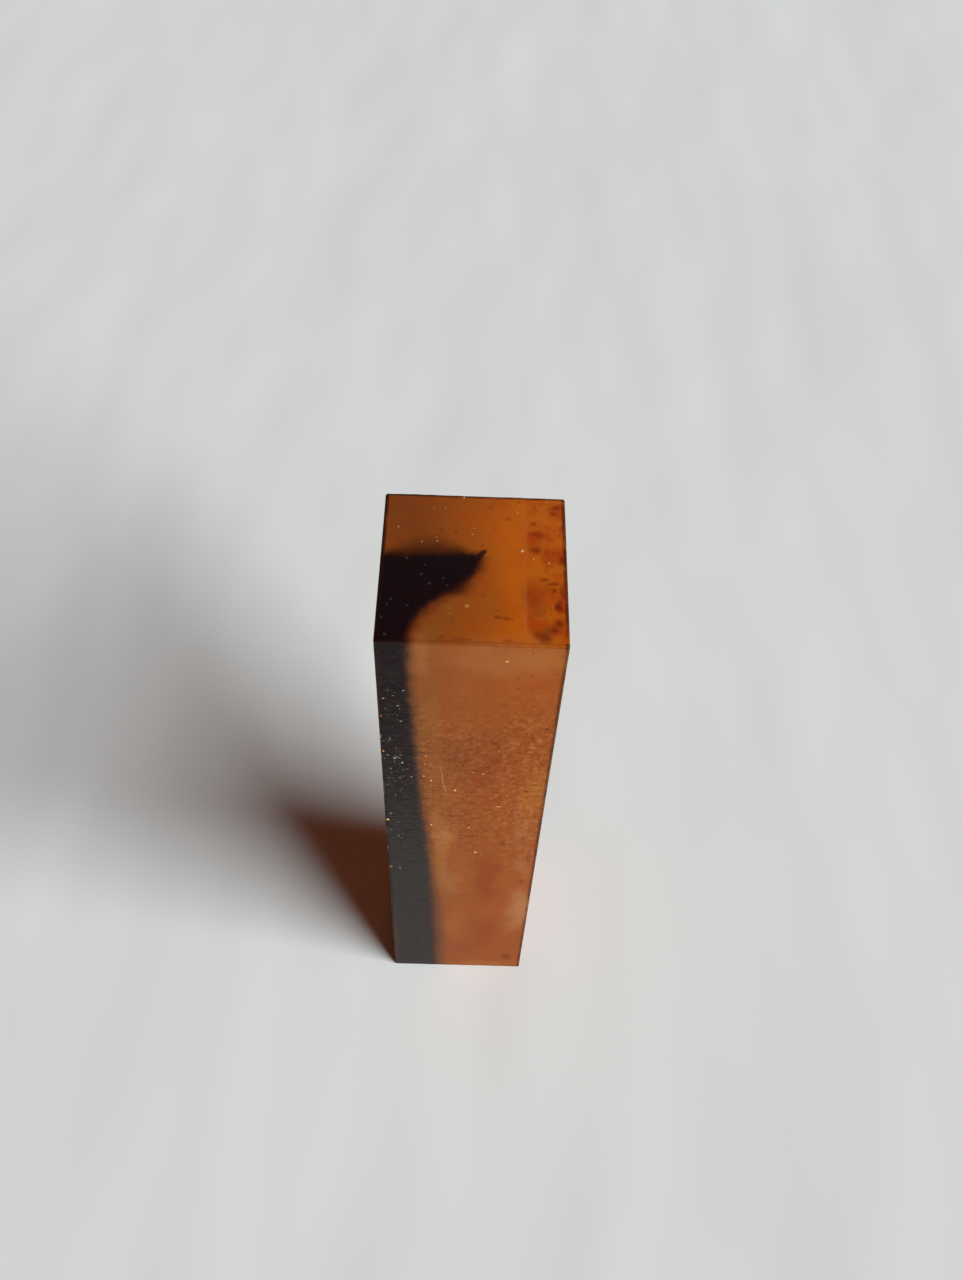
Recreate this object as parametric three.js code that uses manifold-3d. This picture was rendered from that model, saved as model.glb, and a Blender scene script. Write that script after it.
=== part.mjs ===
// A plain square-section stick of bow rosin, sawn square at both ends and standing on one of them.
// It is two rosins fused along their whole length: a translucent amber body, and a streak of
// near-black rosin that fills a hollow down one long corner of it and widens towards the bottom.
//
// Millimetres, +Z up. The origin is the middle of the bottom end. The front face looks along -Y,
// and the dark streak runs down the front left corner.

import * as THREE from "three";
import { mergeVertices } from "three/addons/utils/BufferGeometryUtils.js";
import Module from "manifold-3d";

// Driving dimensions of the stick.
const WIDTH = 16; // along X
const DEPTH = 16.5; // along Y
const HEIGHT = 70; // along Z
const CORNER_RADIUS = 0.35; // the long edges, rounded by handling
const END_EASE = 0.2; // the edges of both sawn ends, a little crisper

// The streak's section, at the top and at the bottom. In between it changes as an S curve does.
// frontX: where its edge meets the front face. sideY: where its edge meets the left face.
// tip: the sharp point that it reaches towards the middle of the stick.
const STREAK_TOP = { frontX: -5.3, sideY: 0.6, tip: new THREE.Vector2(0.6, 1.2) };
const STREAK_BOTTOM = { frontX: -2.5, sideY: 2.2, tip: new THREE.Vector2(2.3, 3.2) };

// The hollow side leaves the front face square to it, turns towards the middle, and runs into the
// tip steeply. These are the handles of its curve, from the front face and from the tip.
const FRONT_HANDLE = new THREE.Vector2(0, 5.15);
const TIP_HANDLE = new THREE.Vector2(0.1, -4.1);
const REAR_BOW = 0.35; // how far the rear side bows out

const FUSED_GAP = 0.3; // clearance modelled where the two rosins are fused
const OVERRUN = 2; // how far the cutting shape runs past the stick

// Fineness of the curved sides.
const CURVE_STEPS = 14;
const LEVELS = 16;
const CORNER_STEPS = 3;

const wasm = await Module();
wasm.setup();

const amber = new THREE.MeshStandardMaterial({ color: 0xa65618, roughness: 0.4, metalness: 0 });
const darkBrown = new THREE.MeshStandardMaterial({ color: 0x1c1413, roughness: 0.45, metalness: 0 });

// A geometry as a manifold-3d solid, from its positions alone.
function solidOf(geometry) {
  const bare = geometry.index ? geometry.toNonIndexed() : geometry.clone();
  bare.deleteAttribute("normal");
  bare.deleteAttribute("uv");
  const merged = mergeVertices(bare, 1e-4);
  return new wasm.Manifold(
    new wasm.Mesh({
      numProp: 3,
      vertProperties: merged.attributes.position.array,
      triVerts: new Uint32Array(merged.index.array),
    }),
  );
}

// A manifold-3d solid as a named mesh.
function meshOf(solid, name, material) {
  const { vertProperties, triVerts } = solid.getMesh();
  const geometry = new THREE.BufferGeometry();
  geometry.setAttribute("position", new THREE.BufferAttribute(vertProperties, 3));
  geometry.setIndex(new THREE.BufferAttribute(triVerts, 1));
  geometry.computeVertexNormals();
  const mesh = new THREE.Mesh(geometry, material);
  mesh.name = name;
  return mesh;
}

// The whole stick: a rectangle with rounded corners, its two ends eased.
function stickSolid() {
  const x = WIDTH / 2;
  const y = DEPTH / 2;
  const r = CORNER_RADIUS;
  const outline = new THREE.Shape();
  outline.absarc(x - r, y - r, r, 0, Math.PI / 2);
  outline.absarc(r - x, y - r, r, Math.PI / 2, Math.PI);
  outline.absarc(r - x, r - y, r, Math.PI, 1.5 * Math.PI);
  outline.absarc(x - r, r - y, r, 1.5 * Math.PI, 2 * Math.PI);
  outline.closePath();
  const geometry = new THREE.ExtrudeGeometry(outline, {
    depth: HEIGHT - 2 * END_EASE,
    curveSegments: CORNER_STEPS,
    bevelThickness: END_EASE,
    bevelSize: END_EASE,
    bevelOffset: -END_EASE,
    bevelSegments: 2,
  });
  return solidOf(geometry.translate(0, 0, END_EASE));
}

// The streak's edges at height z, between its top and its bottom section.
function streakAt(z) {
  const down = THREE.MathUtils.smoothstep(HEIGHT - z, 0, HEIGHT);
  return {
    frontX: THREE.MathUtils.lerp(STREAK_TOP.frontX, STREAK_BOTTOM.frontX, down),
    sideY: THREE.MathUtils.lerp(STREAK_TOP.sideY, STREAK_BOTTOM.sideY, down),
    tip: STREAK_TOP.tip.clone().lerp(STREAK_BOTTOM.tip, down),
  };
}

// The outline of the streak at height z, anticlockwise from above. Its two outer sides lie
// OVERRUN outside the stick, its hollow side runs from the front face to the tip, and its rear
// side bows out from the tip to the left face.
function streakOutline(z) {
  const { frontX, sideY, tip } = streakAt(z);
  const corner = new THREE.Vector2(-WIDTH / 2 - OVERRUN, -DEPTH / 2 - OVERRUN);
  const outside = new THREE.Vector2(frontX, corner.y);
  const front = new THREE.Vector2(frontX, -DEPTH / 2);
  const side = new THREE.Vector2(corner.x, sideY);
  const frontPull = front.clone().add(FRONT_HANDLE);
  const tipPull = tip.clone().add(TIP_HANDLE);
  const bow = side.clone().lerp(tip, 0.5).add(new THREE.Vector2(0, REAR_BOW));
  const hollow = new THREE.CubicBezierCurve(front, frontPull, tipPull, tip).getPoints(CURVE_STEPS);
  const rear = new THREE.QuadraticBezierCurve(tip, bow, side).getPoints(CURVE_STEPS).slice(1);
  return [corner, outside, ...hollow, ...rear];
}

// An anticlockwise outline with every side moved outwards by a distance.
function grown(outline, distance) {
  const outward = (a, b) => new THREE.Vector2(b.y - a.y, a.x - b.x).normalize();
  return outline.map((point, i) => {
    const before = outline.at(i - 1);
    const after = outline[(i + 1) % outline.length];
    const one = outward(before, point);
    const other = outward(point, after);
    const mitre = one.clone().add(other).multiplyScalar(distance / (1 + one.dot(other)));
    return point.clone().add(mitre);
  });
}

// A closed solid through outlines of equal length, each at its own height, lowest first.
function loft(outlines, heights) {
  const count = outlines[0].length;
  const positions = outlines.flatMap((outline, k) => outline.flatMap((p) => [p.x, p.y, heights[k]]));
  const faces = [];
  for (let k = 0; k + 1 < outlines.length; k++) {
    for (let i = 0; i < count; i++) {
      const j = (i + 1) % count;
      const [a, b] = [k * count + i, k * count + j];
      faces.push(a, b, b + count, a, b + count, a + count);
    }
  }
  const top = (outlines.length - 1) * count;
  for (const [a, b, c] of THREE.ShapeUtils.triangulateShape(outlines[0], [])) faces.push(c, b, a);
  for (const [a, b, c] of THREE.ShapeUtils.triangulateShape(outlines.at(-1), [])) {
    faces.push(top + a, top + b, top + c);
  }
  const geometry = new THREE.BufferGeometry();
  geometry.setAttribute("position", new THREE.Float32BufferAttribute(positions, 3));
  geometry.setIndex(faces);
  return solidOf(geometry);
}

// The shape that parts the two rosins, grown by a clearance. It runs past both ends.
function streakCutter(clearance) {
  const heights = Array.from({ length: LEVELS + 1 }, (_, k) => (HEIGHT * k) / LEVELS);
  const outlines = heights.map((z) => grown(streakOutline(z), clearance));
  return loft(
    [outlines[0], ...outlines, outlines.at(-1)],
    [-OVERRUN, ...heights, HEIGHT + OVERRUN],
  );
}

function amberBody(stick) {
  return meshOf(stick.subtract(streakCutter(FUSED_GAP)), "amber_body", amber);
}

function darkStreak(stick) {
  return meshOf(stick.intersect(streakCutter(0)), "dark_streak", darkBrown);
}

const stick = stickSolid();
const rosinStick = new THREE.Group();
rosinStick.add(amberBody(stick), darkStreak(stick));

export default rosinStick;
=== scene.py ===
"""The looks of a stick of bow rosin: translucent amber with a near-black streak down one long corner.

Metres, in the CAD frame: +Z up the stick, the front face towards -Y, the origin in the middle of the
bottom end. The streak runs down the front left corner. Lengths inside the materials are millimetres.
"""

import math
import random

import bmesh
import bpy
import numpy as np
from mathutils import Matrix, Vector, noise

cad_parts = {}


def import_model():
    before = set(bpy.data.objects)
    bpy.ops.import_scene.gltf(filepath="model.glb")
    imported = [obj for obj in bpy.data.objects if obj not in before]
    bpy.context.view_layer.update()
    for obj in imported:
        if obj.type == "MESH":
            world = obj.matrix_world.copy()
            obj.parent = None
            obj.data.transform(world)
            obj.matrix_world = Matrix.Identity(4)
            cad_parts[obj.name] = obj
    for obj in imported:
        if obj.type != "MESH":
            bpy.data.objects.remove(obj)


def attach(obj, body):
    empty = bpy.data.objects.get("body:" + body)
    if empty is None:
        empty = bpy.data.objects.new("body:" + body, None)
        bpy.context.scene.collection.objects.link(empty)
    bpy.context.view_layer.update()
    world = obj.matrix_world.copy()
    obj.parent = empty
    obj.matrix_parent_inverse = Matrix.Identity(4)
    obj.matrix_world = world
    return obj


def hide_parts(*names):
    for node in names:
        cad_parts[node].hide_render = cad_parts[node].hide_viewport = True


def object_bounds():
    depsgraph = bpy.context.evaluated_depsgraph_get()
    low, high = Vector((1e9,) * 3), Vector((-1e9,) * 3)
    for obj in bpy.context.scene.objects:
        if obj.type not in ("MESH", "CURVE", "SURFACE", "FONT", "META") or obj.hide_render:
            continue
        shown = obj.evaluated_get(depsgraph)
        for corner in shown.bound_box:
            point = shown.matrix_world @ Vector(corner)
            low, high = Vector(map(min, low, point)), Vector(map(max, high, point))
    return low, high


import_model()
cad_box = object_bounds()

MM = 0.001
LOW, HIGH = cad_box
HEIGHT = HIGH.z - LOW.z

# The stick's faces lie a little inside the CAD box, so that the grains on them stay in it too.
SIDE_SINK = 0.04 * MM
TOP_SINK = 0.05 * MM
EDGE_RADIUS = 0.16 * MM
GRID = (0.28 * MM, 0.28 * MM, 0.18 * MM)  # spacing of the fine surface mesh along X, Y and Z
EDGE_STEPS = (0.0, 0.05, 0.11, 0.2)  # closer spacing across an edge, in mm
SAW_PITCH = 0.72  # mm from one saw mark to the next

# The streak's section, as in the CAD: where its edge meets the front face (x) and the left face (y),
# and the sharp tip that it reaches towards the middle. It goes from top to bottom as an S curve.
STREAK_TOP = {"front_x": -5.3 * MM, "side_y": 0.6 * MM, "tip": (0.6 * MM, 1.2 * MM)}
STREAK_BOTTOM = {"front_x": -2.5 * MM, "side_y": 2.2 * MM, "tip": (2.3 * MM, 3.2 * MM)}
FRONT_HANDLE = np.array((0.0, 5.15)) * MM  # the handles of the hollow side's curve
TIP_HANDLE = np.array((0.1, -4.1)) * MM
REAR_BOW = np.array((0.0, 0.35)) * MM  # how far the rear side bows out
OVERRUN = 2 * MM  # how far the cutting shape runs past the stick
CURVE_STEPS = 20
CUTTER_LEVELS = 70

CAMERA_PLACE = Vector((-0.95, -63.5, 145.4)) * MM
CAMERA_YAW, CAMERA_PITCH, CAMERA_ROLL = 1.77, 53.52, -3.25  # degrees: right of +Y, down, clockwise
CAMERA_LENS = 32.73  # mm, on a 36 mm long side

# The window as the stick sees it, in degrees: from +X anticlockwise from above, and up from the floor.
WINDOW_AZIMUTHS = (-54, -8)
WINDOW_ELEVATIONS = (15, 46)
WINDOW_DISTANCE = 40.0  # metres, far enough to light the whole floor evenly
WINDOW_RADIANCE = 44.0  # W per square metre of the window
WINDOW_COLOUR = (0.9, 0.985, 0.985)
FILL_COLOUR = (1.0, 0.98, 0.96)
THROUGH_ROSIN_COLOUR = (1.0, 0.22, 0.04)
BACKDROP_COLOUR = (0.67, 0.655, 0.65)
FLOOR_REACH = 6.0  # metres from the stick to the floor's edges


# ---------------------------------------------------------------- the streak's shape


def bezier(*pulls):
    """Points on the curve through the first and last of these points, drawn towards the others."""
    order = len(pulls) - 1
    t = np.linspace(0, 1, CURVE_STEPS + 1)[:, None]
    weights = [math.comb(order, k) * t**k * (1 - t) ** (order - k) for k in range(order + 1)]
    return sum(weight * pull for weight, pull in zip(weights, pulls))


def streak_section(edges):
    """The hollow side, from the front face to the tip, and the rear side, from the tip to the left face."""
    tip = np.array(edges["tip"])
    outside = np.array((edges["front_x"], LOW.y - OVERRUN))
    front = np.array((edges["front_x"], LOW.y))
    side = np.array((LOW.x - OVERRUN, edges["side_y"]))
    hollow = bezier(front, front + FRONT_HANDLE, tip + TIP_HANDLE, tip)
    rear = bezier(tip, (tip + side) / 2 + REAR_BOW, side)
    return np.concatenate([[outside], hollow]), rear


def streak_sides(z):
    """Both sides of the streak at each height in z, as arrays of (height, point, xy)."""
    down = np.clip((HIGH.z - np.asarray(z, float)) / HEIGHT, 0, 1)
    share = (down**2 * (3 - 2 * down))[:, None, None]
    pairs = zip(streak_section(STREAK_TOP), streak_section(STREAK_BOTTOM))
    return [top * (1 - share) + bottom * share for top, bottom in pairs]


def depth_inside(points, curves):
    """How far each xy point lies to the left of its own curve, in metres; negative on the right of it."""
    start, end = curves[:, :-1], curves[:, 1:]
    run = end - start
    away = points[:, None] - start
    along = np.clip((away * run).sum(2) / (run**2).sum(2), 0, 1)
    apart = away - along[..., None] * run
    distance = np.hypot(apart[..., 0], apart[..., 1])
    nearest = distance.argmin(1)
    rows = np.arange(len(points))
    side = run[..., 0] * away[..., 1] - run[..., 1] * away[..., 0]
    return distance[rows, nearest] * np.sign(side[rows, nearest])


def streak_cutter():
    """A closed shape that fills the streak and runs past the stick on its outer sides and its ends."""
    heights = np.linspace(LOW.z, HIGH.z, CUTTER_LEVELS + 1)
    hollow, rear = streak_sides(heights)
    corner = np.tile([LOW.x - OVERRUN, LOW.y - OVERRUN], (len(heights), 1, 1))
    outlines = np.concatenate([corner, hollow, rear[:, 1:]], axis=1)
    outlines = np.concatenate([outlines[:1], outlines, outlines[-1:]])
    heights = np.concatenate([[LOW.z - OVERRUN], heights, [HIGH.z + OVERRUN]])
    levels, count = outlines.shape[:2]
    z = np.repeat(heights, count)[:, None]
    points = np.concatenate([outlines.reshape(-1, 2), z], axis=1)
    faces = []
    for k in range(levels - 1):
        for i in range(count):
            a, b = k * count + i, k * count + (i + 1) % count
            faces.append((a, b, b + count, a + count))
    faces.append(tuple(reversed(range(count))))
    faces.append(tuple(range((levels - 1) * count, levels * count)))
    return mesh_object("streak_cutter", points, faces)


# ---------------------------------------------------------------- the sawn stick


def mesh_object(name, points, faces):
    """A new object in the scene, from points in metres and faces as lists of their numbers."""
    mesh = bpy.data.meshes.new(name)
    mesh.from_pydata([tuple(p) for p in points], [], faces)
    mesh.update()
    piece = bpy.data.objects.new(name, mesh)
    bpy.context.scene.collection.objects.link(piece)
    return piece


def grid_line(low, high, spacing):
    """Places along one side of the stick: close together over both edges, and evenly spaced between."""
    ease = np.array(EDGE_STEPS) * MM
    between = np.linspace(low + ease[-1], high - ease[-1], 1 + round((high - low) / spacing))
    return np.concatenate([low + ease[:-1], between, high - ease[-2::-1]])


def box_surface(lines):
    """The points and quads of a box's surface, on a grid that has these lines along X, Y and Z."""
    counts = np.array([len(line) for line in lines])
    stride = np.array([1, counts[0], counts[0] * counts[1]])
    quads = []
    for axis in range(3):
        u, v = (axis + 1) % 3, (axis + 2) % 3
        i, j = np.meshgrid(np.arange(counts[u] - 1), np.arange(counts[v] - 1), indexing="ij")
        first = (i * stride[u] + j * stride[v]).ravel()
        ring = [first, first + stride[u], first + stride[u] + stride[v], first + stride[v]]
        quads.append(np.stack(ring[::-1], axis=1))
        quads.append(np.stack(ring, axis=1) + (counts[axis] - 1) * stride[axis])
    quads = np.concatenate(quads)
    used, quads = np.unique(quads, return_inverse=True)
    index = [used // stride[axis] % counts[axis] for axis in range(3)]
    points = np.stack([lines[axis][index[axis]] for axis in range(3)], axis=1)
    return points, quads.reshape(-1, 4)


def rounded(points, low, high, radius):
    """Box surface points with the box's edges rounded, and the outward direction at each."""
    inner = np.clip(points, low + radius, high - radius)
    outward = points - inner
    outward /= np.linalg.norm(outward, axis=1)[:, None]
    return inner + radius * outward, outward


def noise_at(points, scales, shift=0.0):
    """Smooth noise from -1 to 1 at each point. scales are features per millimetre along X, Y and Z."""
    places = points / MM * np.array(scales) + shift
    return np.array([noise.noise(Vector(p)) for p in places])


def saw_depth(points, outward):
    """How deep the saw and handling have cut into the surface at each point, in millimetres."""
    x, y, z = (points / MM).T
    # Which part of the surface a point is on: a side, a long edge or an edge of an end. 0 to 1.
    on_side = 1 - np.abs(outward[:, 2])
    edge = 4 * (outward[:, 0] * outward[:, 1]) ** 2
    end_edge = np.clip(4 * outward[:, 2] ** 2 * (1 - outward[:, 2] ** 2), 0, 1)
    # The saw cut roughest at two thirds of the height, and down the streak's corner.
    height = z / (HEIGHT / MM)
    rough_band = 0.2 + 0.8 * np.exp(-(((height - 0.66) / 0.22) ** 4))
    streak_edge = 1 + 1.2 * (x < 0) * (y < 0)
    tooth = 0.5 + 0.5 * np.sin(2 * math.pi * (z + 0.06 * x - 0.05 * y) / SAW_PITCH)
    patchy = np.clip(0.5 + noise_at(points, (0.5, 0.5, 1.1), 3.1), 0, 1)
    ragged = np.clip(0.35 + noise_at(points, (0.9, 0.9, 1.6), 11.7), 0, 1)
    wave = 0.5 + 0.5 * noise_at(points, (0.11, 0.11, 0.07), 5.0)
    chip = np.clip(noise_at(points, (0.28, 0.28, 0.28), 21.3) - 0.36, 0, 1)
    depth = 0.02 * wave
    depth += on_side * rough_band * 0.022 * tooth * patchy
    depth += edge * (0.02 + rough_band * streak_edge * 0.16 * tooth * ragged + 0.6 * chip)
    depth += end_edge * (0.01 + 0.05 * ragged + 0.4 * chip)
    return depth


def stick():
    """The whole stick as one fine closed mesh."""
    low = np.array(LOW) + (SIDE_SINK, SIDE_SINK, 0)
    high = np.array(HIGH) - (SIDE_SINK, SIDE_SINK, TOP_SINK)
    points, quads = box_surface([grid_line(*ends) for ends in zip(low, high, GRID)])
    points, outward = rounded(points, low, high, EDGE_RADIUS)
    points = points - outward * (saw_depth(points, outward) * MM)[:, None]
    return mesh_object("stick", points, quads.tolist())


def cut(name, whole, cutter, operation):
    """A new piece: the whole stick with the cutter's shape taken away, or what the two share."""
    piece = bpy.data.objects.new(name, whole.data.copy())
    bpy.context.scene.collection.objects.link(piece)
    boolean = piece.modifiers.new("cut", "BOOLEAN")
    boolean.operation = operation
    boolean.solver = "MANIFOLD"
    boolean.object = cutter
    graph = bpy.context.evaluated_depsgraph_get()
    piece.data = bpy.data.meshes.new_from_object(piece.evaluated_get(graph))
    piece.data.name = name
    piece.modifiers.clear()
    return piece


def split_wide_faces(mesh):
    """Splits faces with more than four corners into well shaped triangles."""
    body = bmesh.new()
    body.from_mesh(mesh)
    wide = [face for face in body.faces if len(face.verts) > 4]
    bmesh.ops.triangulate(body, faces=wide, ngon_method="BEAUTY")
    body.to_mesh(mesh)
    body.free()


def mark_depths(piece):
    """Stores at each vertex how deep it lies inside the streak's two sides, in millimetres."""
    mesh = piece.data
    points = np.empty(len(mesh.vertices) * 3)
    mesh.vertices.foreach_get("co", points)
    points = points.reshape(-1, 3)
    for name, side in zip(("hollow_depth", "rear_depth"), streak_sides(points[:, 2])):
        values = depth_inside(points[:, :2], side) / MM
        attribute = mesh.attributes.new(name, "FLOAT", "POINT")
        attribute.data.foreach_set("value", values.astype(np.float32))


def smooth(piece, sharp_degrees):
    """Shades a piece smooth, apart from edges sharper than an angle."""
    piece.data.polygons.foreach_set("use_smooth", [True] * len(piece.data.polygons))
    piece.data.set_sharp_from_angle(angle=math.radians(sharp_degrees))


# ---------------------------------------------------------------- materials

# Where the stick's faces lie, in millimetres.
SIDE_X = (HIGH.x - SIDE_SINK) / MM
SIDE_Y = (HIGH.y - SIDE_SINK) / MM
TOP = (HIGH.z - TOP_SINK) / MM
HALF_HEIGHT = HEIGHT / MM / 2


def linear(red, green, blue):
    """An sRGB colour, 0 to 255, as linear RGBA."""
    shares = [c / 255 for c in (red, green, blue)]
    return [c / 12.92 if c <= 0.04045 else ((c + 0.055) / 1.055) ** 2.4 for c in shares] + [1.0]


class Recipe:
    """A material's nodes. Each method adds one kind of node and returns its output."""

    def __init__(self, name):
        self.material = bpy.data.materials.new(name)
        self.material.use_nodes = True
        self.nodes = self.material.node_tree.nodes
        self.links = self.material.node_tree.links
        self.nodes.clear()
        coordinates = self.nodes.new("ShaderNodeTexCoord")
        self.place = self.vector("SCALE", coordinates.outputs["Object"], scale=1 / MM)
        parts = self.nodes.new("ShaderNodeSeparateXYZ")
        self.join(self.place, parts.inputs[0])
        self.x, self.y, self.z = parts.outputs

    def join(self, value, socket):
        """Links a node's output to a socket, or sets the socket to a plain value."""
        if isinstance(value, bpy.types.NodeSocket):
            self.links.new(value, socket)
        else:
            socket.default_value = value

    def vector(self, operation, first, second=(0, 0, 0), scale=1.0):
        """Vector arithmetic. scale is for SCALE only, and second for all the others."""
        node = self.nodes.new("ShaderNodeVectorMath")
        node.operation = operation
        self.join(first, node.inputs[0])
        if operation == "SCALE":
            self.join(scale, node.inputs["Scale"])
        else:
            self.join(second, node.inputs[1])
        return node.outputs["Value" if operation in ("LENGTH", "DOT_PRODUCT") else "Vector"]

    def math(self, operation, first, second=0.0):
        """Arithmetic on one or two numbers."""
        node = self.nodes.new("ShaderNodeMath")
        node.operation = operation
        self.join(first, node.inputs[0])
        self.join(second, node.inputs[1])
        return node.outputs[0]

    def times(self, *values):
        """The product of the values."""
        product = values[0]
        for value in values[1:]:
            product = self.math("MULTIPLY", product, value)
        return product

    def add(self, *values):
        """The sum of the values."""
        total = values[0]
        for value in values[1:]:
            total = self.math("ADD", total, value)
        return total

    def ramp(self, value, low, high, first=0.0, last=1.0):
        """Goes smoothly from first to last as value goes from low to high."""
        node = self.nodes.new("ShaderNodeMapRange")
        node.interpolation_type = "SMOOTHSTEP"
        self.join(value, node.inputs["Value"])
        for socket, number in zip(("From Min", "From Max", "To Min", "To Max"), (low, high, first, last)):
            node.inputs[socket].default_value = number
        return node.outputs["Result"]

    def noise_node(self, per_mm, detail, shift, roughness):
        """A noise node over the place, which the shift moves to its own part of the noise."""
        scales = per_mm if isinstance(per_mm, tuple) else (per_mm,) * 3
        places = self.vector("MULTIPLY", self.place, scales)
        node = self.nodes.new("ShaderNodeTexNoise")
        self.join(self.vector("ADD", places, (shift, -shift, 2 * shift)), node.inputs["Vector"])
        node.inputs["Scale"].default_value = 1.0
        node.inputs["Detail"].default_value = detail
        node.inputs["Roughness"].default_value = roughness
        return node

    def noise(self, per_mm, detail=2.0, shift=0.0, roughness=0.5):
        """Noise from 0 to 1. per_mm is features per millimetre: one number, or one for each axis."""
        return self.noise_node(per_mm, detail, shift, roughness).outputs["Fac"]

    def warped(self, per_mm, reach, shift=0.0):
        """The place, moved about by noise up to about half of reach, in millimetres."""
        colour = self.noise_node(per_mm, 2.0, shift, 0.5).outputs["Color"]
        push = self.vector("SCALE", self.vector("SUBTRACT", colour, (0.5, 0.5, 0.5)), scale=reach)
        return self.vector("ADD", self.place, push)

    def dots(self, per_mm, shift=0.0):
        """The distance to the nearest of a scatter of points, and a random number for that point."""
        places = self.vector("SCALE", self.place, scale=per_mm)
        node = self.nodes.new("ShaderNodeTexVoronoi")
        self.join(self.vector("ADD", places, (shift, shift, shift)), node.inputs["Vector"])
        node.inputs["Scale"].default_value = 1.0
        chance = self.nodes.new("ShaderNodeSeparateColor")
        self.join(node.outputs["Color"], chance.inputs[0])
        return node.outputs["Distance"], chance.outputs[0]

    def mix(self, colour, tint, *shares):
        """The colour turned towards a tint, by the product of the shares."""
        node = self.nodes.new("ShaderNodeMix")
        node.data_type = "RGBA"
        self.join(self.times(*shares), node.inputs["Factor"])
        self.join(colour, node.inputs["A"])
        self.join(tint, node.inputs["B"])
        return node.outputs["Result"]

    def attribute(self, name):
        """A number stored at the mesh's vertices."""
        node = self.nodes.new("ShaderNodeAttribute")
        node.attribute_name = name
        return node.outputs["Fac"]

    def cloud(self, place, centre, radii):
        """1 in the middle of a soft ellipsoid, falling to 0 at its edge. Millimetres."""
        away = self.vector("SUBTRACT", place, centre)
        share = self.vector("LENGTH", self.vector("DIVIDE", away, radii))
        return self.ramp(share, 1.1, 0.2)

    def line(self, place, start, end, width):
        """1 along a thin line between two points, falling to 0 beside it. Millimetres."""
        start, end = Vector(start), Vector(end)
        direction = (end - start).normalized()
        away = self.vector("SUBTRACT", place, start)
        along = self.math("MAXIMUM", self.vector("DOT_PRODUCT", away, direction), 0.0)
        along = self.math("MINIMUM", along, (end - start).length)
        nearest = self.vector("SCALE", tuple(direction), scale=along)
        apart = self.vector("LENGTH", self.vector("SUBTRACT", away, nearest))
        return self.ramp(apart, width, width / 3)

    def bump(self, height, distance):
        """A normal bent by a height from 0 to 1, which stands for a distance in metres."""
        node = self.nodes.new("ShaderNodeBump")
        node.inputs["Distance"].default_value = distance
        self.join(height, node.inputs["Height"])
        return node.outputs["Normal"]

    def surface(self, colour, roughness, normal=None, **fixed):
        """Principled BSDF. fixed are sockets with the same value all over the surface."""
        shader = self.nodes.new("ShaderNodeBsdfPrincipled")
        self.join(colour, shader.inputs["Base Color"])
        self.join(roughness, shader.inputs["Roughness"])
        if normal:
            self.join(normal, shader.inputs["Normal"])
        for name, value in fixed.items():
            shader.inputs[name.replace("_", " ")].default_value = value
        output = self.nodes.new("ShaderNodeOutputMaterial")
        self.join(shader.outputs[0], output.inputs["Surface"])


# The amber rosin, from its plain colour to its patches, with its painted shade, glow and sheen, and what
# lies on it.
AMBER = linear(166, 80, 19)
AMBER_PAINTED_SHADE = linear(128, 62, 22)
AMBER_PAINTED_GLOW = linear(190, 90, 15)
AMBER_GOLD = linear(176, 104, 30)
AMBER_OLIVE = linear(146, 86, 34)
AMBER_RED = linear(170, 60, 8)
AMBER_TAN = linear(178, 116, 70)
AMBER_SHADE = linear(136, 54, 14)
AMBER_DEEP = linear(132, 64, 14)
AMBER_RIGHT_PAINTED_SHADE = linear(118, 62, 22)
AMBER_UMBER = linear(96, 52, 20)
DUSTY_AND_PAINTED_SHEEN = linear(156, 92, 46)
DUST = linear(206, 150, 92)
FLECK = linear(108, 24, 2)
SAW_PAINTED_SHADE = linear(104, 42, 10)
EDGE_PAINTED_SHADE = linear(44, 15, 6)

# The dark streak: its halo, its burnt edge, and the streak from smooth to sawn to dusty, paler lower down
# with a painted reflection of the floor.
SMOKE_AND_PAINTED_SHADE = linear(46, 17, 8)
BURNT = linear(92, 38, 14)
STREAK_BROWN = linear(88, 56, 36)
STREAK_BLACK = linear(24, 8, 11)
STREAK_PAINTED_REFLECTION = linear(46, 39, 35)
STREAK_DUST = linear(70, 60, 58)

# Soft clouds in the rosin near the front and the top: centre and radii in millimetres, and share.
TAN_CLOUDS = (
    ((-2.4, -8.2, 36.5), (1.1, 3.0, 7.0), 0.5),
    ((-4.3, -8.2, 68.3), (1.2, 2.0, 4.0), 0.4),
    ((-1.8, -8.2, 27.0), (0.8, 3.0, 5.0), 0.35),
    ((5.9, -8.2, 37.0), (1.4, 3.0, 6.0), 0.3),
    ((6.7, -8.2, 18.0), (2.0, 3.0, 7.5), 0.8),
    ((6.8, -8.2, 29.5), (1.4, 3.0, 4.5), 0.35),
    ((-0.7, -8.2, 24.5), (1.2, 3.0, 4.0), 0.35),
    ((3.0, -8.2, 68.0), (7.0, 2.0, 3.4), 0.3),
)
GOLD_CLOUDS = (
    ((7.0, -8.2, 45.5), (1.7, 3.0, 8.0), 0.6),
    ((-2.3, -8.2, 34.0), (1.3, 3.0, 15.0), 0.55),
    ((-3.9, -8.2, 55.0), (1.2, 3.0, 12.0), 0.25),
    ((-0.6, -8.2, 13.0), (1.5, 3.0, 6.5), 0.3),
    ((3.5, -8.2, 0.8), (5.5, 3.0, 1.8), 0.4),
    ((6.0, -8.2, 68.0), (3.0, 3.0, 3.5), 0.3),
    ((6.5, 0.3, 69.8), (1.2, 1.0, 3.0), 0.5),
    ((5.5, 6.0, 69.8), (1.6, 1.4, 3.0), 0.25),
)
BROWN_CLOUDS = (
    ((-4.1, -8.2, 57.0), (1.2, 3.0, 9.0), 0.5),
    ((-0.6, -8.2, 51.0), (2.2, 3.0, 6.5), 0.22),
)
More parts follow.
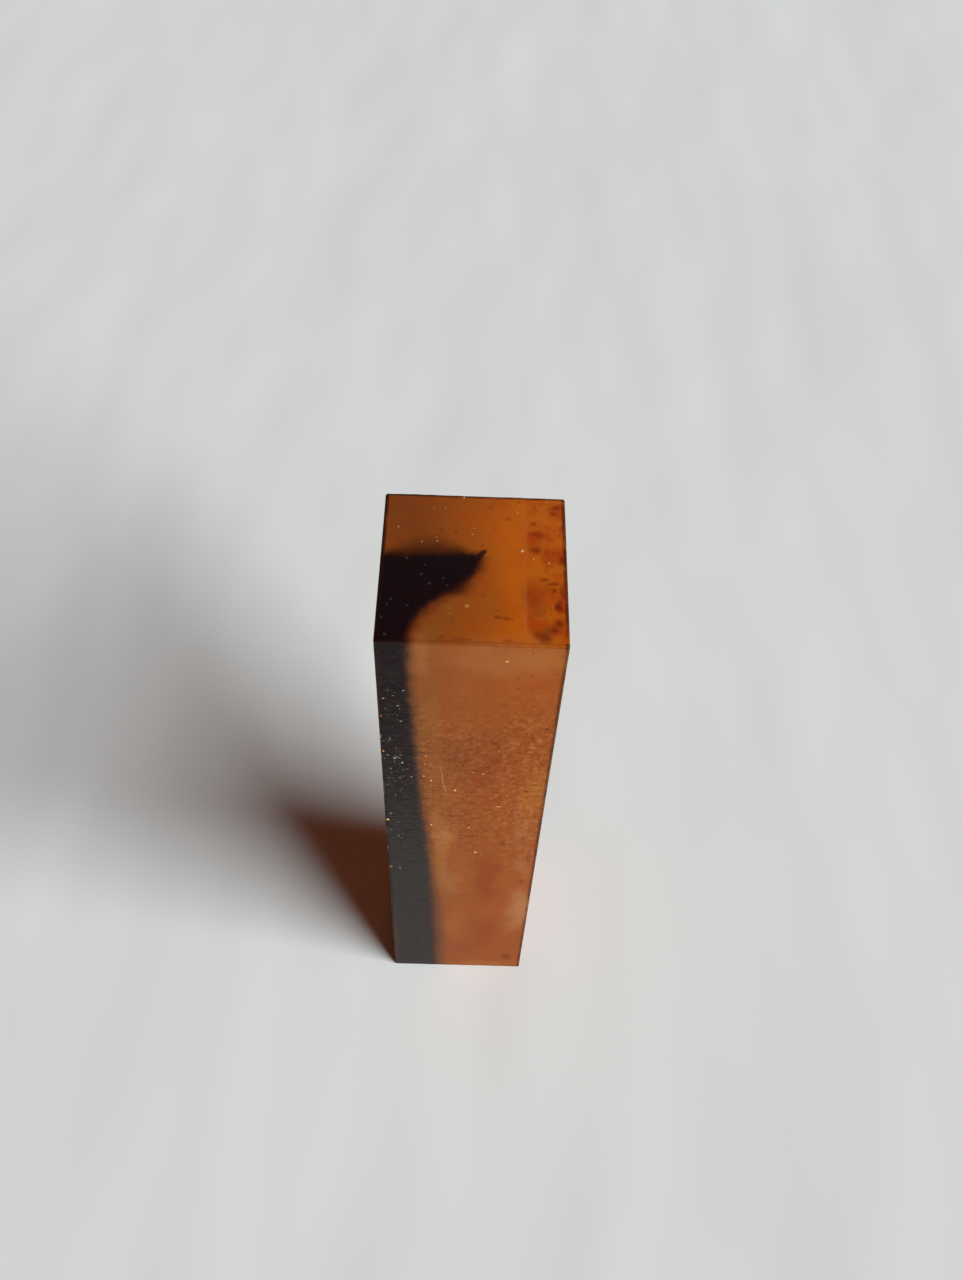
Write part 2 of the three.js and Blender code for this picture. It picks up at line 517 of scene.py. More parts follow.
RED_CLOUDS = (
    ((3.0, -8.2, 26.0), (2.3, 3.0, 8.0), 0.65),
    ((3.2, -8.2, 11.0), (2.2, 3.0, 6.0), 0.55),
    ((0.4, -8.2, 5.5), (2.6, 3.0, 3.0), 0.3),
    ((2.0, -8.2, 50.0), (2.6, 3.0, 9.0), 0.4),
    ((5.3, -3.0, 69.8), (1.3, 2.4, 5.0), 0.75),
    ((5.6, 3.0, 69.8), (1.1, 1.0, 4.0), 0.5),
    ((5.2, -5.2, 69.8), (1.0, 0.8, 4.0), 0.5),
)
# Dark flecks: centre and radii in millimetres, and share.
FLECKS = (
    ((7.2, -4.0, 69.9), (0.45, 0.9, 3.0), 0.8),
    ((7.1, -5.8, 69.9), (0.5, 0.6, 3.0), 0.75),
    ((7.5, -2.6, 69.9), (0.35, 0.8, 3.0), 0.6),
    ((5.8, -7.2, 69.9), (1.1, 0.9, 1.2), 0.75),
    ((6.6, -6.5, 69.9), (0.8, 0.6, 2.0), 0.6),
    ((5.9, -1.2, 69.9), (0.7, 0.35, 2.0), 0.6),
    ((6.7, -1.7, 69.9), (0.7, 0.35, 2.0), 0.65),
    ((5.3, 2.0, 69.9), (0.6, 0.5, 2.0), 0.6),
    ((6.2, 1.8, 69.9), (0.35, 0.4, 2.0), 0.45),
    ((7.5, 0.9, 69.9), (0.35, 0.8, 4.0), 0.65),
    ((5.4, 3.8, 69.9), (0.9, 0.45, 2.0), 0.4),
    ((5.1, 5.0, 69.9), (0.4, 0.4, 2.0), 0.5),
    ((7.2, 7.0, 69.9), (0.6, 0.6, 3.0), 0.6),
    ((6.9, 6.2, 69.9), (0.4, 0.4, 2.0), 0.45),
    ((7.5, 4.6, 69.9), (0.3, 0.6, 3.0), 0.5),
    ((2.9, 5.5, 69.9), (0.3, 0.3, 1.0), 0.4),
    ((1.3, 6.8, 69.9), (0.4, 0.3, 1.0), 0.35),
    ((-1.6, 3.7, 69.9), (0.25, 0.3, 1.0), 0.4),
    ((-2.9, 3.9, 69.9), (0.3, 0.3, 1.0), 0.35),
    ((0.8, -3.1, 69.9), (0.3, 0.25, 1.0), 0.35),
    ((-1.7, -5.9, 69.9), (0.25, 0.25, 1.0), 0.3),
    ((-0.9, -7.7, 69.9), (1.0, 0.25, 0.5), 0.45),
    ((-2.5, -7.6, 69.9), (0.5, 0.35, 0.5), 0.5),
    ((3.0, -7.7, 69.9), (0.7, 0.25, 0.5), 0.35),
    ((6.7, -8.2, 25.7), (0.35, 1.0, 0.8), 0.6),
    ((6.1, -8.2, 3.4), (0.9, 1.0, 1.1), 0.6),
    ((4.3, -8.2, 34.8), (0.5, 1.0, 1.4), 0.35),
    ((7.1, -8.2, 31.6), (0.35, 1.0, 1.6), 0.4),
)


def with_clouds(recipe, place, colour, clouds, tint):
    """The colour, turned towards a tint inside each of the clouds."""
    for centre, radii, share in clouds:
        colour = recipe.mix(colour, tint, recipe.cloud(place, centre, radii), share)
    return colour


def amber_colour(recipe, on_side):
    """The amber rosin before the streak: painted shade at the back left, a painted glow at the right, dusty
    with a painted sheen outside.
    """
    x, y, z = recipe.x, recipe.y, recipe.z
    # Painted shade towards the left and the back, and a painted glow of light through the rosin towards the
    # right.
    drift = recipe.math("SUBTRACT", recipe.noise(0.12, 2.0, 4.0), 0.5)
    across = recipe.add(x, recipe.times(drift, 6.0))
    colour = recipe.mix(AMBER_PAINTED_SHADE, AMBER, recipe.ramp(across, -5.0, 2.0))
    colour = recipe.mix(colour, AMBER_PAINTED_GLOW, recipe.ramp(across, 0.5, 4.0))
    at_back = recipe.ramp(y, 1.0, 8.0, 0.0, 0.6)
    at_left = recipe.ramp(x, 2.0, -7.0)
    colour = recipe.mix(colour, AMBER_PAINTED_SHADE, at_back, at_left)
    curtain = recipe.noise((0.5, 0.5, 0.06), 3.0, 9.0)
    colour = recipe.mix(colour, AMBER_RED, recipe.ramp(curtain, 0.42, 0.72, 0.0, 0.25))
    # Dusty sawn rosin and a painted sheen on the sides.
    colour = recipe.mix(colour, DUSTY_AND_PAINTED_SHEEN, on_side, 0.25)
    colour = recipe.mix(colour, AMBER_DEEP, on_side, recipe.ramp(x, -1.0, 2.5, 0.15, 0.5))
    # Painted shade: the right face darker, as the window lights it most.
    colour = recipe.mix(colour, AMBER_RIGHT_PAINTED_SHADE, on_side, recipe.ramp(x, 7.5, 7.8), 0.85)
    # Painted shade: the sides darker towards the bottom.
    colour = recipe.mix(colour, AMBER_SHADE, on_side, recipe.ramp(z, 30.0, 2.0, 0.0, 0.34))
    wide = recipe.warped(0.3, 3.5, 40.0)
    colour = with_clouds(recipe, wide, colour, RED_CLOUDS, AMBER_SHADE)
    colour = with_clouds(recipe, wide, colour, BROWN_CLOUDS, AMBER_UMBER)
    colour = with_clouds(recipe, wide, colour, GOLD_CLOUDS, AMBER_GOLD)
    return with_clouds(recipe, wide, colour, TAN_CLOUDS, AMBER_TAN)


def mottled(recipe, colour, on_side):
    """Red patches and dark flecks in the right-hand part of the stick, strongest near its top."""
    wobble = recipe.math("SUBTRACT", recipe.noise(0.35, 2.0, 17.0), 0.5)
    right_part = recipe.times(
        recipe.ramp(recipe.add(recipe.x, recipe.times(wobble, 0.9)), 4.2, 4.7),
        recipe.ramp(recipe.z, 56.0, 69.0, 0.22, 1.0),
        recipe.ramp(on_side, 0.0, 1.0, 1.0, 0.3),
    )
    patches = recipe.ramp(recipe.noise((0.45, 0.45, 0.2), 3.0, 23.0), 0.42, 0.62)
    colour = recipe.mix(colour, AMBER_RED, right_part, patches, 0.8)
    spots = recipe.ramp(recipe.noise((1.0, 1.0, 0.4), 4.0, 31.0, 0.65), 0.54, 0.72)
    near_edge = recipe.ramp(recipe.x, 5.2, 7.2, 0.25, 1.0)
    colour = recipe.mix(colour, FLECK, right_part, spots, near_edge, 0.7)
    fine = recipe.warped(1.1, 0.7, 47.0)
    colour = with_clouds(recipe, fine, colour, FLECKS, FLECK)
    dark_line = recipe.line(fine, (1.9, -5.35, 69.85), (3.4, -5.6, 69.85), 0.2)
    colour = recipe.mix(colour, FLECK, dark_line, 0.55)
    seam = recipe.line(fine, (4.5, 5.5, 69.9), (4.3, -7.5, 69.9), 0.25)
    colour = recipe.mix(colour, AMBER_TAN, seam, 0.12)
    dot, chance = recipe.dots(0.95, 37.0)
    return recipe.mix(colour, FLECK, recipe.ramp(dot, 0.2, 0.06), recipe.ramp(chance, 0.55, 0.7), 0.4)


def scored(recipe, colour, rough_band):
    """The grain, ticks and scratches that the saw left on the sides, with painted shade in their hollows
    and painted light on their ridges. Returns colour and height.
    """
    grain = recipe.noise((2.0, 2.0, 1.7), 4.0, 61.0, 0.7)
    ticks = recipe.noise((1.3, 1.3, 2.2), 3.0, 71.0, 0.6)
    # Painted shade where the grain and the ticks sink.
    shade = recipe.add(
        recipe.times(recipe.ramp(grain, 0.52, 0.36), 0.4),
        recipe.times(recipe.ramp(ticks, 0.42, 0.3), 0.6),
    )
    colour = recipe.mix(colour, SAW_PAINTED_SHADE, recipe.math("MINIMUM", shade, 1.0), rough_band)
    off_middle = recipe.math("ABSOLUTE", recipe.math("SUBTRACT", recipe.x, 0.8))
    outer = recipe.ramp(off_middle, 1.5, 5.0, 0.35, 0.75)
    on_front = recipe.ramp(recipe.y, -8.24, -8.1, 1.0, 0.35)
    # Painted light on the grain's raised parts.
    colour = recipe.mix(colour, AMBER_TAN, recipe.ramp(grain, 0.52, 0.66), rough_band, outer, on_front)
    fine = recipe.warped(0.5, 0.5, 57.0)
    front = LOW.y / MM + 0.1
    scratch = recipe.line(fine, (-2.5, front, 50.7), (-2.0, front, 45.6), 0.12)
    colour = recipe.mix(colour, DUST, scratch, 0.4)
    # Painted shade in the nick's groove.
    nick = recipe.line(fine, (-4.8, front, 52.9), (-3.4, front, 52.8), 0.3)
    colour = recipe.mix(colour, SMOKE_AND_PAINTED_SHADE, nick, 0.6)
    height = recipe.add(
        recipe.times(grain, rough_band, 0.8),
        recipe.times(ticks, rough_band, 0.8),
        recipe.times(nick, -0.4),
        recipe.times(scratch, 0.4),
    )
    return colour, height


def with_streak(recipe, colour):
    """The streak in the amber, with what lies along it: olive rosin, a burnt edge and a smoky halo.

    Returns the colour, and how far each place belongs to the streak, from 0 to 1.
    """
    x, z = recipe.x, recipe.z
    ragged = recipe.times(recipe.math("SUBTRACT", recipe.noise(0.8, 3.0, 51.0, 0.55), 0.5), 0.8)
    sharper_below = recipe.ramp(z, 8.0, 45.0, 0.7, 1.0)
    hollow = recipe.times(recipe.add(recipe.attribute("hollow_depth"), ragged), sharper_below)
    rear = recipe.add(recipe.attribute("rear_depth"), ragged)

    beside = recipe.times(recipe.ramp(hollow, -3.4, -1.8), recipe.ramp(hollow, -0.4, -1.2))
    patchy = recipe.ramp(recipe.noise(0.3, 2.0, 58.0), 0.35, 0.65, 0.2, 0.7)
    colour = recipe.mix(colour, AMBER_OLIVE, beside, recipe.ramp(x, -0.6, -2.6, 0.15, 1.0), patchy)

    edge_colour = recipe.mix(BURNT, STREAK_BROWN, recipe.ramp(z, 69.7, 68.5))
    burnt = recipe.times(recipe.ramp(hollow, -1.15, 0.2), recipe.ramp(rear, -0.5, 0.1))
    colour = recipe.mix(colour, edge_colour, burnt, 0.8)

    middle = recipe.times(recipe.ramp(x, -8.0, -4.6, 0.4, 1.0), recipe.ramp(x, 0.8, -3.0, 0.2, 1.0))
    behind = recipe.math("DIVIDE", rear, recipe.times(middle, 2.7))
    halo = recipe.times(recipe.ramp(behind, -1.0, 0.05), recipe.ramp(hollow, -0.3, 0.8))
    colour = recipe.mix(colour, SMOKE_AND_PAINTED_SHADE, halo, 0.9)
    fine = recipe.warped(1.2, 0.9, 53.0)
    # Painted shadow: a soft dark patch on the top beside the streak's hollow side.
    painted_soft_shadow = recipe.cloud(fine, (-1.6, -2.4, 69.8), (2.0, 1.2, 6.0))
    colour = recipe.mix(colour, SMOKE_AND_PAINTED_SHADE, painted_soft_shadow, 0.75)

    core = recipe.math("SUBTRACT", hollow, recipe.ramp(z, 32.0, 14.0, 0.0, 0.4))
    dark = recipe.times(recipe.ramp(core, -0.5, 0.55), recipe.ramp(rear, -0.3, 0.3))
    spur = recipe.line(fine, (0.1, 0.6, 69.9), (0.85, 1.6, 69.9), 0.42)
    dark = recipe.math("MAXIMUM", dark, recipe.times(spur, 0.9))
    # Painted reflection of the floor: the streak paler lower down.
    black = recipe.mix(STREAK_BLACK, STREAK_PAINTED_REFLECTION, recipe.ramp(z, 60.0, 30.0))
    return recipe.mix(colour, black, dark), dark


def sawn_streak(recipe, colour, dark, on_side, rough_band):
    """Powder, pits and a brown corner, a painted reflection of the shadow, on the sawn sides of the streak.
    Returns colour and height.
    """
    powder = recipe.noise((1.5, 1.5, 3.6), 4.0, 87.0, 0.7)
    less_below = recipe.ramp(recipe.z, 20.0, 42.0, 0.35, 1.0)
    colour = recipe.mix(colour, STREAK_DUST, recipe.ramp(powder, 0.5, 0.7), dark, on_side, less_below, 0.4)
    colour = recipe.mix(colour, STREAK_BLACK, recipe.ramp(powder, 0.48, 0.34), rough_band, dark, 0.8)
    # Painted reflection of the warm shadow on the streak's lower left corner.
    corner = recipe.ramp(recipe.x, -7.3, -7.75)
    colour = recipe.mix(colour, STREAK_BROWN, corner, recipe.ramp(recipe.z, 24.0, 8.0), dark, 0.8)
    return colour, recipe.times(powder, dark, on_side, 0.8)


def from_middle(recipe):
    """How far each place lies from the middle of the height, in millimetres."""
    return recipe.math("ABSOLUTE", recipe.math("SUBTRACT", recipe.z, HALF_HEIGHT))


def painted_edge_lines(recipe):
    """Painted shade along the stick's edges: 1 on the edges and 0 on the faces, broken in places, and faint
    along the front.
    """
    start, full = 0.48, 0.2  # how far inside a side the line starts and is full
    near_x = recipe.ramp(recipe.math("ABSOLUTE", recipe.x), SIDE_X - start, SIDE_X - full)
    near_y = recipe.ramp(recipe.math("ABSOLUTE", recipe.y), SIDE_Y - start, SIDE_Y - full)
    near_end = recipe.ramp(from_middle(recipe), HALF_HEIGHT - 0.42, HALF_HEIGHT - 0.22)
    faint_front = recipe.ramp(recipe.y, -7.4, -6.6, 0.35, 1.0)
    shade_gaps = recipe.noise((1.0, 1.0, 0.6), 4.0, 43.0, 0.65)
    end_shade_gaps = recipe.ramp(shade_gaps, 0.3, 0.55, 0.6, 1.0)
    edges = recipe.add(
        recipe.times(near_x, near_y, recipe.ramp(shade_gaps, 0.32, 0.66, 0.4, 0.9)),
        recipe.times(near_y, near_end, faint_front, end_shade_gaps),
        recipe.times(near_end, near_x, faint_front, end_shade_gaps),
    )
    return recipe.math("MINIMUM", edges, 1.0)


def rosin():
    """One material for both pieces, so that the colour runs on across the line where they meet."""
    recipe = Recipe("rosin")
    z = recipe.z
    on_side = recipe.ramp(from_middle(recipe), HALF_HEIGHT - 0.1, HALF_HEIGHT - 0.2)
    rough_band = recipe.times(
        on_side,
        recipe.ramp(z, 24.0, 42.0, 0.12, 1.0),
        recipe.ramp(z, 66.0, 54.0, 0.12, 1.0),
    )
    colour = mottled(recipe, amber_colour(recipe, on_side), on_side)
    colour, scoring = scored(recipe, colour, rough_band)
    colour, dark = with_streak(recipe, colour)
    colour, powder = sawn_streak(recipe, colour, dark, on_side, rough_band)
    # Painted shade along the edges.
    colour = recipe.mix(colour, EDGE_PAINTED_SHADE, painted_edge_lines(recipe), 0.85)
    waves = recipe.times(recipe.noise(0.9, 2.0, 81.0), 0.12)
    smudges = recipe.times(recipe.noise(0.6, 3.0, 91.0), 0.12)
    recipe.surface(
        colour,
        recipe.add(recipe.times(on_side, 0.17), 0.3, smudges),
        recipe.bump(recipe.add(scoring, powder, waves), 0.07 * MM),
        IOR=1.54,
        Specular_IOR_Level=0.1,
        Subsurface_Weight=0.3,
        Subsurface_Radius=(0.6, 0.3, 0.1),
        Subsurface_Scale=MM,
    )
    return recipe.material


def dust(name, per_mm, dark, light, on_end=None):
    """Powdery rosin in patches from dark to light, with its own colour on the top end if given."""
    recipe = Recipe(name)
    tone = recipe.noise(per_mm, 2.0, 7.0)
    colour = recipe.mix(dark, light, recipe.ramp(tone, 0.4, 0.65))
    if on_end:
        colour = recipe.mix(colour, on_end, recipe.ramp(recipe.z, 69.6, 69.8))
    grainy = recipe.bump(recipe.noise(9.0), 0.02 * MM)
    recipe.surface(colour, 0.7, grainy, IOR=1.54, Specular_IOR_Level=0.1)
    return recipe.material


def amber_dust():
    """Pale powder: the crumbs and slivers left by the saw."""
    return dust("amber_dust", 1.4, linear(176, 98, 42), linear(242, 182, 116))


def streak_dust():
    """Grey powder on the dark streak: pale on the sawn sides, and dull on the smoother top end."""
    return dust("streak_dust", 1.1, linear(64, 56, 50), linear(160, 148, 132), linear(46, 37, 36))


# ---------------------------------------------------------------- crumbs and slivers

# All lengths in this part are millimetres. Crumbs that stand out: their place on the top end (x, y)
# or on the front face (x, z), and their size.
TOP_CRUMBS = (
    ((-0.5, -4.25), 0.5),
    ((6.35, 0.6), 0.42),
    ((4.1, 1.9), 0.3),
    ((5.0, 1.05), 0.26),
    ((-0.2, 3.6), 0.22),
    ((-1.0, 7.9), 0.24),
    ((-1.9, -5.1), 0.16),
    ((-3.2, 2.7), 0.2),
    ((-4.5, 2.6), 0.2),
    ((-6.6, 4.2), 0.12),
)
TOP_STREAK_CRUMBS = (
    ((-5.75, 0.7), 0.26),
    ((-4.15, 0.0), 0.24),
    ((-4.4, -1.0), 0.28),
    ((-2.55, -1.4), 0.26),
    ((-3.7, -2.0), 0.24),
    ((-2.2, -2.2), 0.22),
    ((-6.8, -3.8), 0.26),
    ((-7.1, -4.3), 0.22),
    ((-5.4, -4.4), 0.24),
    ((-7.5, -5.7), 0.28),
    ((-7.1, -7.4), 0.28),
)
FRONT_CRUMBS = (
    ((2.95, 67.7), 0.42),
    ((4.7, 69.0), 0.22),
    ((1.35, 32.6), 0.36),
    ((-1.0, 45.9), 0.24),
    ((1.6, 49.2), 0.22),
    ((-3.3, 47.7), 0.24),
    ((-3.9, 50.8), 0.2),
    ((-4.0, 48.5), 0.2),
    ((-3.8, 52.2), 0.26),
    ((-3.3, 38.6), 0.26),
    ((-7.7, 58.9), 0.26),
    ((-7.7, 52.9), 0.24),
    ((-7.7, 39.5), 0.3),
    ((-7.7, 28.6), 0.3),
)
FRONT_STREAK_CRUMBS = (
    ((-6.2, 60.6), 0.2),
    ((-6.0, 58.1), 0.26),
    ((-6.7, 51.7), 0.27),
    ((-6.1, 52.3), 0.22),
    ((-6.0, 50.9), 0.21),
    ((-7.1, 49.8), 0.15),
    ((-5.2, 48.3), 0.17),
    ((-6.8, 44.7), 0.21),
    ((-7.3, 40.9), 0.26),
    ((-6.3, 36.6), 0.22),
    ((-6.7, 36.0), 0.2),
    ((-6.1, 34.9), 0.26),
    ((-6.2, 33.4), 0.2),
    ((-6.7, 28.4), 0.22),
)
# Slivers on the front face: middle (x, z), length, and degrees from the horizontal.
AMBER_SLIVERS = (
    ((3.15, 44.4), 1.1, 52),
    ((3.6, 44.6), 0.9, 56),
    ((3.3, 42.9), 0.7, 8),
    ((0.65, 38.7), 0.9, 66),
    ((0.5, 38.2), 0.4, 30),
)
STREAK_SLIVERS = (
    ((-7.0, 55.1), 1.0, 82),
    ((-6.5, 59.4), 0.6, 60),
    ((-6.4, 51.9), 0.7, -35),
    ((-5.9, 52.2), 0.5, 70),
    ((-6.0, 35.2), 0.5, 40),
)
CRUMB_HEIGHT = 0.038  # how far a crumb stands out of the surface at most
SLIVER_STEPS = 8
SLIVER_HALF_WIDTH = 0.05
SLIVER_HALF_THICK = 0.025

# How many small loose crumbs lie on each part. On the front they lie thickest at a middle height.
LOOSE_ON_TOP = 18
LOOSE_ON_AMBER = 16
LOOSE_ON_STREAK = 70
LOOSE_ON_EDGE = 44
LOOSE_BEHIND = 50
LOOSE_MIDDLE = 48
LOOSE_SPREAD = 8

UPWARD, FORWARD, BACKWARD = Vector((0, 0, 1)), Vector((0, -1, 0)), Vector((0, 1, 0))


def crumb(mesh, spot, outward, size, draw):
    """Adds one broken, flattened crumb, bedded in the surface at a spot. Lengths are millimetres."""
    half_thick = 0.22 * size
    sink = max(half_thick - CRUMB_HEIGHT, 0.3 * half_thick)
    stretch = [half_thick if along else draw.uniform(0.42, 0.78) * size for along in outward]
    shape = Matrix.Diagonal((*stretch, 1.0))
    made = bmesh.ops.create_icosphere(mesh, subdivisions=2, radius=1.0, matrix=shape)
    for vertex in made["verts"]:
        vertex.co = (vertex.co * draw.uniform(0.8, 1.0) + spot - sink * outward) * MM


def sliver(mesh, middle, length, angle):
    """Adds one thin curled sliver that lies on the front face: a tapering strip bent into an arc."""
    turn = math.radians(angle)
    along = Vector((math.cos(turn), 0, math.sin(turn)))
    across = Vector((-math.sin(turn), 0, math.cos(turn)))
    face = LOW.y + SIDE_SINK
    rings = []
    for i in range(SLIVER_STEPS + 1):
        t = 2 * i / SLIVER_STEPS - 1  # from -1 at one end to 1 at the other
        bend = 0.12 * length * t * t
        centre = Vector((middle[0], 0, middle[1])) + along * t * length / 2 + across * bend
        half_width = SLIVER_HALF_WIDTH * (1 - 0.8 * t * t)
        half_thick = SLIVER_HALF_THICK * (1 - 0.6 * t * t)
        ring = []
        for side, lift in ((-1, -1), (1, -1), (1, 1), (-1, 1)):
            point = (centre + across * side * half_width) * MM
            point.y = face - (0.01 + lift * half_thick) * MM
            ring.append(mesh.verts.new(point))
        rings.append(ring)
    for before, after in zip(rings, rings[1:]):
        for i in range(4):
            j = (i + 1) % 4
            mesh.faces.new((before[i], before[j], after[j], after[i]))
    mesh.faces.new(reversed(rings[0]))
    mesh.faces.new(rings[-1])


def placed_crumbs(mesh, draw, on_top, on_front):
    """Adds the crumbs that stand out, on the top end and on the front face."""
    for (x, y), size in on_top:
        crumb(mesh, Vector((x, y, TOP)), UPWARD, size, draw)
    for (x, z), size in on_front:
        crumb(mesh, Vector((x, -SIDE_Y, z)), FORWARD, size, draw)


def scatter_front(mesh, draw, count, low, high):
    """Adds small loose crumbs on the front face, between two places in x."""
    for _ in range(count):
        x = draw.uniform(low, high)
        z = min(max(draw.gauss(LOOSE_MIDDLE, LOOSE_SPREAD), 2), 63)
        crumb(mesh, Vector((x, -SIDE_Y, z)), FORWARD, draw.uniform(0.06, 0.15), draw)


def amber_crumbs():
    """The pale crumbs and slivers on the amber: on its top end, its front and its back."""
    draw = random.Random(12)
    mesh = bmesh.new()
    placed_crumbs(mesh, draw, TOP_CRUMBS, FRONT_CRUMBS)
    for _ in range(LOOSE_ON_TOP):
        spot = Vector((draw.uniform(-7.4, 7.4), draw.uniform(2.2, 7.8), TOP))
        crumb(mesh, spot, UPWARD, draw.uniform(0.06, 0.13), draw)
    scatter_front(mesh, draw, LOOSE_ON_AMBER, -3.6, 7.4)
    for _ in range(LOOSE_BEHIND):
        spot = Vector((draw.uniform(-7.5, 7.5), SIDE_Y, draw.uniform(4, 66)))
        crumb(mesh, spot, BACKWARD, draw.uniform(0.06, 0.16), draw)
    for place in AMBER_SLIVERS:
        sliver(mesh, *place)
    return finished("amber_crumbs", mesh)


def streak_crumbs():
    """The grey crumbs and slivers on the dark streak: on its top end, its front and its corner."""
    draw = random.Random(5)
    mesh = bmesh.new()
    placed_crumbs(mesh, draw, TOP_STREAK_CRUMBS, FRONT_STREAK_CRUMBS)
    scatter_front(mesh, draw, LOOSE_ON_STREAK, -7.7, -5.4)
    for _ in range(LOOSE_ON_EDGE):
        spot = Vector((-SIDE_X + 0.11, -SIDE_Y + 0.03, draw.triangular(18, 66, 52)))
        crumb(mesh, spot, FORWARD, draw.uniform(0.07, 0.15), draw)
    for place in STREAK_SLIVERS:
        sliver(mesh, *place)
    return finished("streak_crumbs", mesh)


def finished(name, mesh):
    """A bmesh as a new object, with smooth faces."""
    bmesh.ops.recalc_face_normals(mesh, faces=mesh.faces)
    data = bpy.data.meshes.new(name)
    mesh.to_mesh(data)
    mesh.free()
    piece = bpy.data.objects.new(name, data)
    bpy.context.scene.collection.objects.link(piece)
    return piece


# ---------------------------------------------------------------- the object


def build_stick():
    """The two rosins, cut from one mesh so that they meet without a gap."""
    whole = stick()
    cutter = streak_cutter()
    amber = cut("amber_rosin", whole, cutter, "DIFFERENCE")
    dark = cut("dark_rosin", whole, cutter, "INTERSECT")
    bpy.data.objects.remove(whole)
    bpy.data.objects.remove(cutter)
    material = rosin()
    for piece, node, slot in ((amber, "amber_body", "amber"), (dark, "dark_streak", "dark")):
        split_wide_faces(piece.data)
        mark_depths(piece)
        smooth(piece, 50)
        piece.data.materials.clear()
        piece.data.materials.append(material)
        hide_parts(node)
        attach(piece, "root")
    return amber, dark


def build_crumbs():
    """What the saw left on both rosins."""
    on_amber, on_streak = amber_crumbs(), streak_crumbs()
    looks = ((on_amber, amber_dust(), "amber"), (on_streak, streak_dust(), "dark"))
    for piece, material, slot in looks:
        smooth(piece, 60)
        piece.data.materials.append(material)
        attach(piece, "root")
    return on_amber, on_streak


# ---------------------------------------------------------------- the studio


def floor():
    """A sheet of pale paper, with the faint waves that paper has."""
    far = FLOOR_REACH
    corners = [(-far, -far, 0), (far, -far, 0), (far, far, 0), (-far, far, 0)]
    plane = mesh_object("floor", corners, [(0, 1, 2, 3)])
    recipe = Recipe("paper")
    waves = recipe.noise((0.02, 0.009, 0.02), 1.0, 3.0)
    colour = recipe.mix(linear(229, 228, 228), linear(235, 234, 234), waves)
    height = recipe.noise((0.05, 0.02, 0.05), 1.0, 8.0)
    recipe.surface(colour, 0.9, recipe.bump(height, 0.6 * MM), Specular_IOR_Level=0.1)
    plane.data.materials.append(recipe.material)
    return plane


def aimed(data, azimuth, elevation, distance=0.0):
    """A lamp that points at the stick, from an azimuth and an elevation in degrees, as the window's."""
    lamp = bpy.data.objects.new(data.name, data)
    a, e = math.radians(azimuth), math.radians(elevation)
    towards = Vector((math.cos(a) * math.cos(e), math.sin(a) * math.cos(e), math.sin(e)))
    turn = towards.to_track_quat("Z", "Y").to_matrix().to_4x4()
    lamp.matrix_world = Matrix.Translation(towards * distance) @ turn
    bpy.context.scene.collection.objects.link(lamp)
    return lamp


def window():
    """A wide low window at the right front."""
    azimuth, elevation = sum(WINDOW_AZIMUTHS) / 2, sum(WINDOW_ELEVATIONS) / 2
    half_wide = math.radians(WINDOW_AZIMUTHS[1] - WINDOW_AZIMUTHS[0]) / 2
    half_high = math.radians(WINDOW_ELEVATIONS[1] - WINDOW_ELEVATIONS[0]) / 2
    data = bpy.data.lights.new("window", "AREA")
    data.shape = "RECTANGLE"
    data.size = 2 * WINDOW_DISTANCE * math.cos(math.radians(elevation)) * math.tan(half_wide)
    data.size_y = 2 * WINDOW_DISTANCE * math.tan(half_high)
    data.energy = WINDOW_RADIANCE * data.size * data.size_y
    data.color = WINDOW_COLOUR
    aimed(data, azimuth, elevation, WINDOW_DISTANCE).visible_camera = False


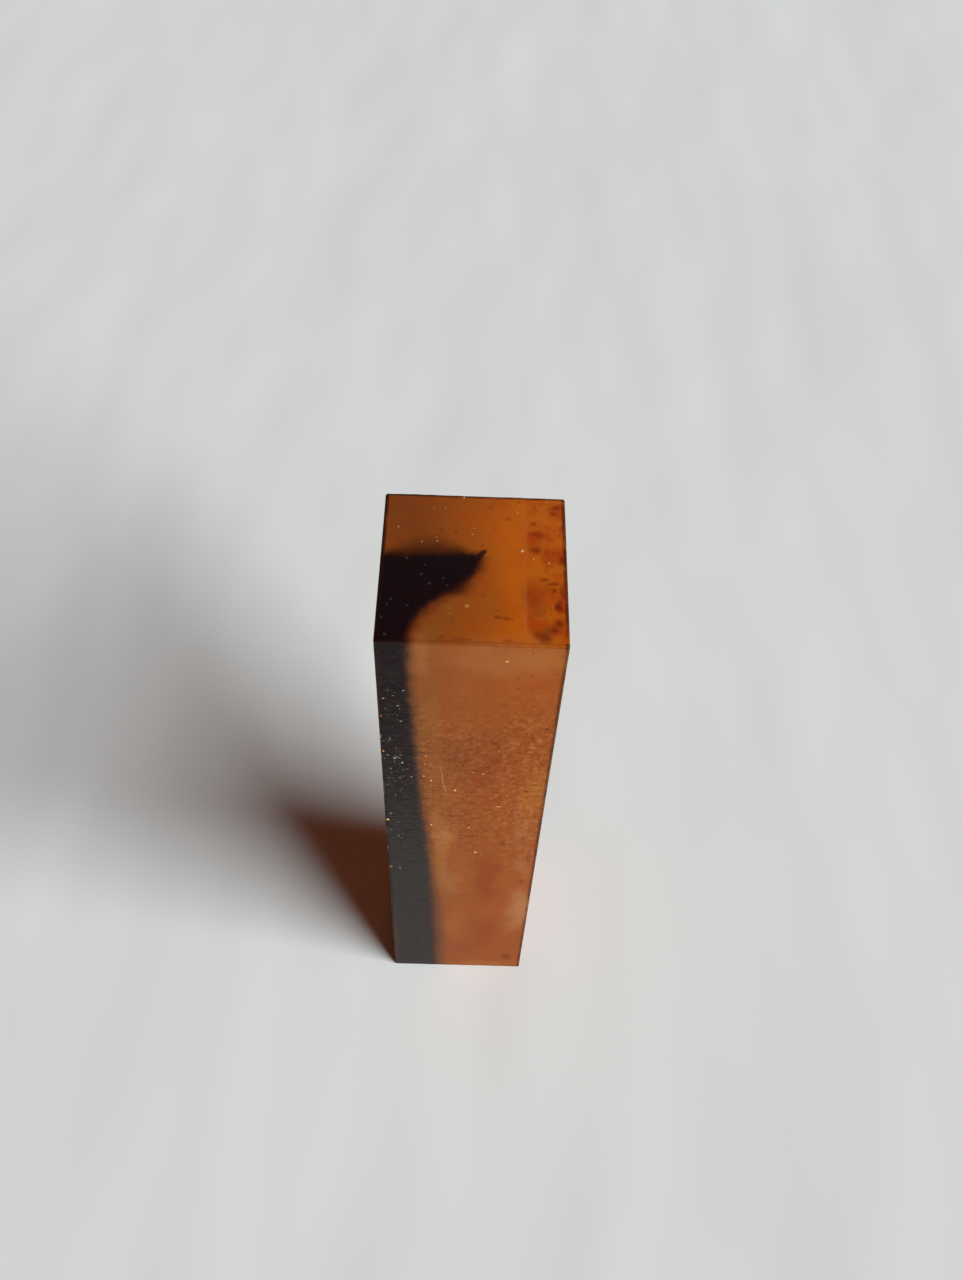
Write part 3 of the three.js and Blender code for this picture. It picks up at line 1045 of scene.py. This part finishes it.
def sun(name, azimuth, elevation, angle, strength, colour, lit):
    """A lamp far away, angle degrees across, that lights only some objects."""
    data = bpy.data.lights.new(name, "SUN")
    data.energy = strength
    data.angle = math.radians(angle)
    data.color = colour
    receivers = bpy.data.collections.new(f"{name}_lights")
    for piece in lit:
        receivers.objects.link(piece)
    aimed(data, azimuth, elevation).light_linking.receiver_collection = receivers


def lights(paper, pieces):
    """The window, weak fills for the stick's far sides, and the warm light that rosin lets through."""
    window()
    for name, azimuth in (("fill_left", 165), ("fill_back", 80)):
        sun(name, azimuth, 14, angle=60, strength=0.4, colour=FILL_COLOUR, lit=pieces)
    sun("through_rosin", 0, 90, angle=5, strength=0.18, colour=THROUGH_ROSIN_COLOUR, lit=[paper])


def world():
    """Dim all round, but a pale backdrop where the camera sees it directly."""
    made = bpy.data.worlds.new("studio")
    made.use_nodes = True
    nodes, links = made.node_tree.nodes, made.node_tree.links
    nodes.clear()
    around = nodes.new("ShaderNodeBackground")
    around.inputs["Color"].default_value = (*FILL_COLOUR, 1)
    around.inputs["Strength"].default_value = 0.01
    backdrop = nodes.new("ShaderNodeBackground")
    backdrop.inputs["Color"].default_value = (*BACKDROP_COLOUR, 1)
    mixed = nodes.new("ShaderNodeMixShader")
    rays = nodes.new("ShaderNodeLightPath")
    output = nodes.new("ShaderNodeOutputWorld")
    links.new(rays.outputs["Is Camera Ray"], mixed.inputs[0])
    links.new(around.outputs[0], mixed.inputs[1])
    links.new(backdrop.outputs[0], mixed.inputs[2])
    links.new(mixed.outputs[0], output.inputs["Surface"])
    bpy.context.scene.world = made


def camera():
    """The camera that sees the stick from above its front."""
    data = bpy.data.cameras.new("camera")
    data.lens = CAMERA_LENS
    data.sensor_width = 36
    data.clip_start = 0.005
    data.clip_end = 50
    looker = bpy.data.objects.new("camera", data)
    turn = Matrix.Rotation(math.radians(-CAMERA_YAW), 4, "Z")
    tip = Matrix.Rotation(math.radians(90 - CAMERA_PITCH), 4, "X")
    roll = Matrix.Rotation(math.radians(-CAMERA_ROLL), 4, "Z")
    looker.matrix_world = Matrix.Translation(CAMERA_PLACE) @ turn @ tip @ roll
    bpy.context.scene.collection.objects.link(looker)
    bpy.context.scene.camera = looker


camera()
world()
paper = floor()
pieces = [*build_stick(), *build_crumbs()]
lights(paper, pieces)
bpy.context.scene.view_settings.view_transform = "Standard"
